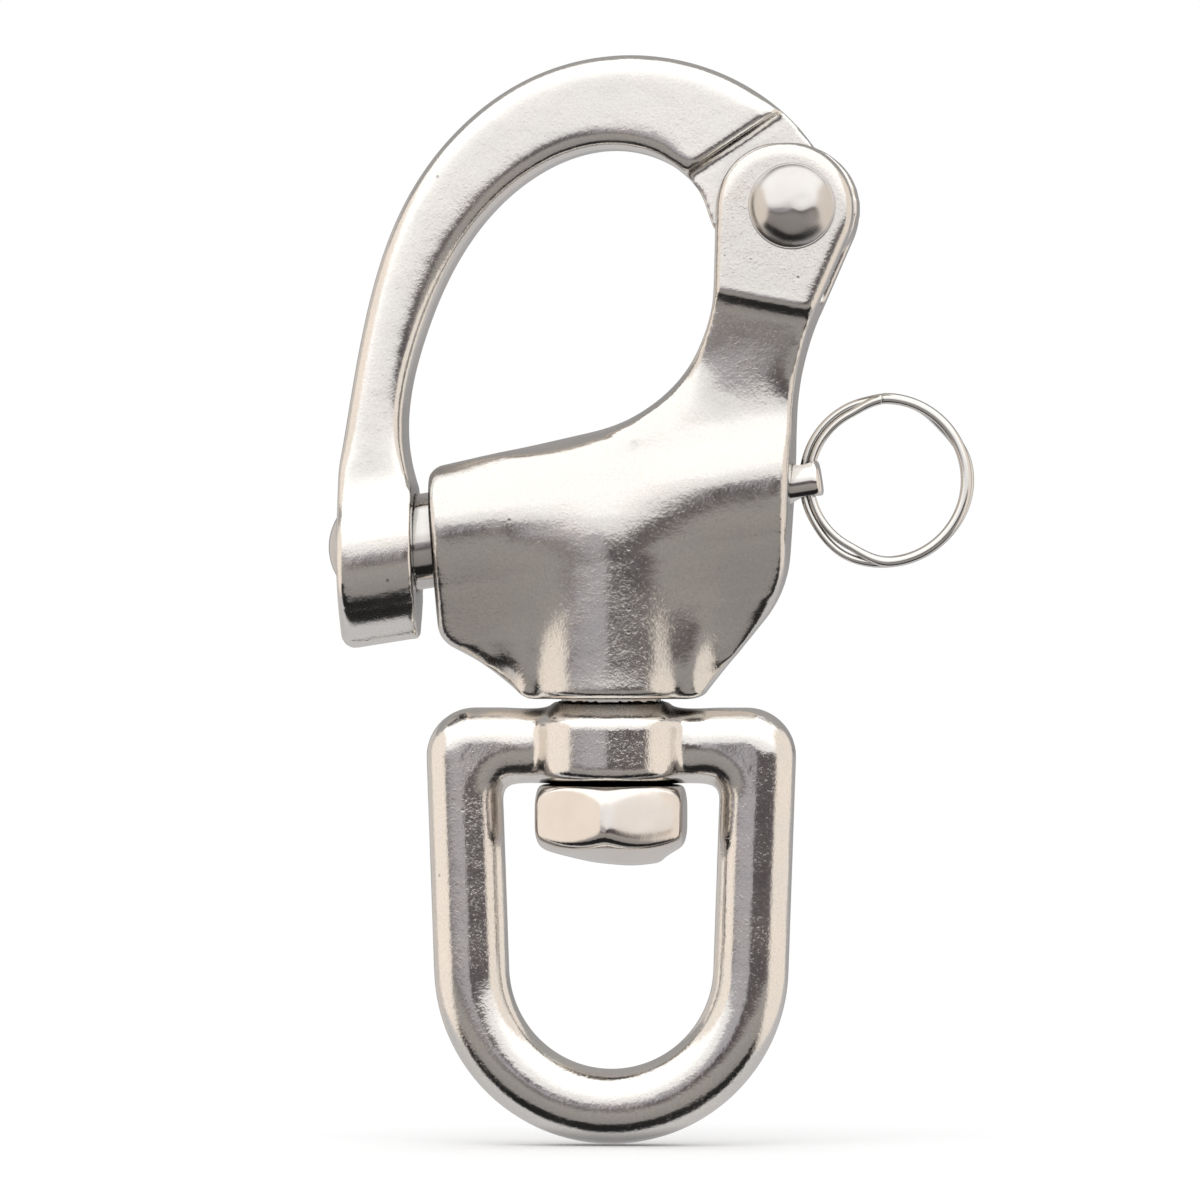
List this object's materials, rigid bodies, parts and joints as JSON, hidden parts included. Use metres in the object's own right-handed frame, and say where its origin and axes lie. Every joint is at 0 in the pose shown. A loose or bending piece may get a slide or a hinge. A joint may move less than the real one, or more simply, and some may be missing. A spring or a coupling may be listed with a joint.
{
  "type": "snap shackle",
  "caption": "Snap shackle with a hinged bail, a spring-loaded locking pin with a pull ring, and a swivel eye that turns on a hexagon-head bolt.",
  "frame": {"origin": "on the swivel axis, at the centre of the eye's half-round bow, in the middle of the thickness", "axes": "+Z along the swivel axis towards the bail; +X towards the hinge and pull-ring side; +Y through the thickness, away from the face shown in front"},
  "size_m": [0.0516, 0.0166, 0.087],
  "materials": {
    "body_casting": "semi-polished investment-cast stainless steel with fine grain",
    "bail_casting": "semi-polished investment-cast stainless steel with fine grain",
    "eye_casting": "semi-polished investment-cast stainless steel with fine grain",
    "rivet_steel": "polished stainless steel, set cold",
    "pin_steel": "turned and polished stainless steel",
    "spring_wire": "drawn stainless spring wire",
    "ring_wire": "polished drawn stainless wire",
    "bolt_steel": "polished stainless steel"
  },
  "bodies": {
    "body": {"shackle_body": "body_casting", "pivot_rivet": "rivet_steel", "swivel_bolt": "bolt_steel"},
    "bail": {"bail": "bail_casting"},
    "spring": {"plunger_spring": "spring_wire"},
    "pin": {"locking_pin": "pin_steel"},
    "ring": {"pull_ring": "ring_wire"},
    "eye": {"swivel_eye": "eye_casting"}
  },
  "joints": [
    {"name": "bail_pivot", "type": "hinge", "parent": "body", "child": "bail", "pos_m": [0.0148, 0, 0.0606], "axis": [0, 1, 0], "range_deg": [0, 170]},
    {"name": "pin_pull", "type": "slide", "parent": "body", "child": "spring", "axis": [0.9877, 0, 0.1564], "range_m": [0, 0.0082], "stiffness_N_per_m": 500, "springref_m": -0.006, "deforming": ["plunger_spring"]},
    {"name": "pin_spin", "type": "hinge", "parent": "spring", "child": "pin", "pos_m": [0, 0, 0.0364], "axis": [0.9877, 0, 0.1564], "continuous": true},
    {"name": "ring_swing", "type": "hinge", "parent": "pin", "child": "ring", "pos_m": [0.01556, 0, 0.03886], "axis": [-0.1564, 0, 0.9877], "range_deg": [-80, 80]},
    {"name": "eye_swivel", "type": "hinge", "parent": "body", "child": "eye", "pos_m": [0, 0, 0.018], "axis": [0, 0, 1], "continuous": true}
  ]
}
